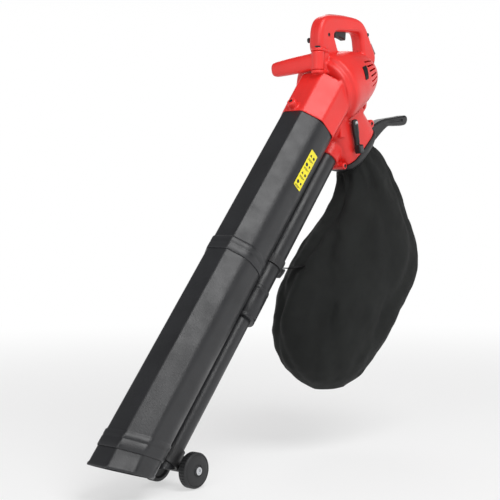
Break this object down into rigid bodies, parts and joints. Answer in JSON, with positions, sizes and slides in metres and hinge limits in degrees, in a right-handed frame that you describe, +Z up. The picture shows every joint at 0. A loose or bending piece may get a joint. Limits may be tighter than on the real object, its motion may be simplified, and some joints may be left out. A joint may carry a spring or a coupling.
{
  "type": "leaf blower",
  "caption": "Hand-held electric leaf blower and vacuum with a wide suction tube, a slim blow tube, wheels at the nozzle and a hanging collection bag.",
  "frame": {"origin": "middle of the main grip, where the hand closes round it; the tool is held there", "axes": "+X rearward towards the motor's tail, +Y to the user's right, +Z up, with the tool in its carrying pose"},
  "size_m": [1.0503, 0.2247, 1.0021],
  "materials": {
    "red": "satin moulded plastic",
    "tube_plastic": "satin blow-moulded plastic",
    "black": "fine moulded grain",
    "soft_black": "matt",
    "wheel_rubber": "matt",
    "bag_cloth": "woven polyester",
    "steel": "bright",
    "dark_steel": "dull",
    "copper": "enamelled",
    "carbon": "pressed carbon",
    "yellow_film": "dipped",
    "label": "printed film"
  },
  "bodies": {
    "housing": {"housing_left": "red", "housing_right": "red", "grip_cover": "red", "housing_screw_1": "dark_steel", "housing_screw_2": "dark_steel", "housing_screw_3": "dark_steel", "housing_screw_4": "dark_steel", "housing_screw_5": "dark_steel", "tube_screw": "dark_steel", "power_inlet": "black", "switch_body": "black", "capacitor": "yellow_film", "speed_control": "black", "rating_badge": "black", "finger_guard": "black", "motor_lead": "soft_black", "side_handle_bolt": "dark_steel", "motor_bracket": "steel", "front_bearing": "steel", "rear_bearing": "steel", "rear_bracket": "steel", "motor_stator": "dark_steel", "brush_left": "carbon", "brush_right": "carbon", "tube_upper": "tube_plastic", "tube_lower": "tube_plastic", "nozzle": "tube_plastic", "blow_tube_upper": "tube_plastic", "blow_tube_lower": "tube_plastic", "bag_clip": "black", "tube_label": "label", "wheel_bracket": "black", "wheel_axle": "steel", "wheel_cap_left": "steel", "wheel_cap_right": "steel"},
    "rotor": {"motor_shaft": "steel", "impeller": "black", "shredder_blade": "steel", "impeller_nut": "steel", "cooling_fan": "black", "armature": "dark_steel", "armature_winding": "copper", "commutator": "copper"},
    "trigger": {"trigger": "black"},
    "speed_dial": {"speed_dial": "black"},
    "mode_selector": {"mode_shaft": "steel", "diverter_flap": "black", "mode_lever": "black"},
    "side_handle": {"side_handle": "red"},
    "wheel_left": {"wheel_left": "wheel_rubber"},
    "wheel_right": {"wheel_right": "wheel_rubber"},
    "bag": {"bag_adapter": "black", "bag": "bag_cloth", "bag_strap": "bag_cloth"},
    "zip": {"zip_slider": "dark_steel"}
  },
  "joints": [
    {"name": "rotor_spin", "type": "hinge", "parent": "housing", "child": "rotor", "pos_m": [-0.056, 0, -0.152], "axis": [0.9397, 0, 0.342], "continuous": true},
    {"name": "trigger_press", "type": "slide", "parent": "housing", "child": "trigger", "axis": [0, 0, 1], "range_m": [0, 0.005], "stiffness_N_per_m": 300, "springref_m": -0.003},
    {"name": "speed_dial_turn", "type": "hinge", "parent": "housing", "child": "speed_dial", "pos_m": [-0.093, 0, -0.04], "axis": [0, 1, 0], "range_deg": [0, 270]},
    {"name": "mode_turn", "type": "hinge", "parent": "housing", "child": "mode_selector", "pos_m": [-0.022, 0, -0.228], "axis": [0, -1, 0], "range_deg": [0, 45]},
    {"name": "side_handle_swing", "type": "hinge", "parent": "housing", "child": "side_handle", "pos_m": [-0.118, -0.02, -0.092], "axis": [0, 0, 1], "range_deg": [0, 130]},
    {"name": "wheel_left_roll", "type": "hinge", "parent": "housing", "child": "wheel_left", "pos_m": [-0.56512, -0.052, -0.93945], "axis": [0, 1, 0], "continuous": true},
    {"name": "wheel_right_roll", "type": "hinge", "parent": "housing", "child": "wheel_right", "pos_m": [-0.56512, 0.052, -0.93945], "axis": [0, 1, 0], "continuous": true},
    {"name": "bag_pull_off", "type": "slide", "parent": "housing", "child": "bag", "axis": [0.6607, 0, -0.7507], "range_m": [0, 0.045]},
    {"name": "zip_pull", "type": "slide", "parent": "bag", "child": "zip", "axis": [0, 0, -1], "range_m": [0, 0.1]}
  ]
}
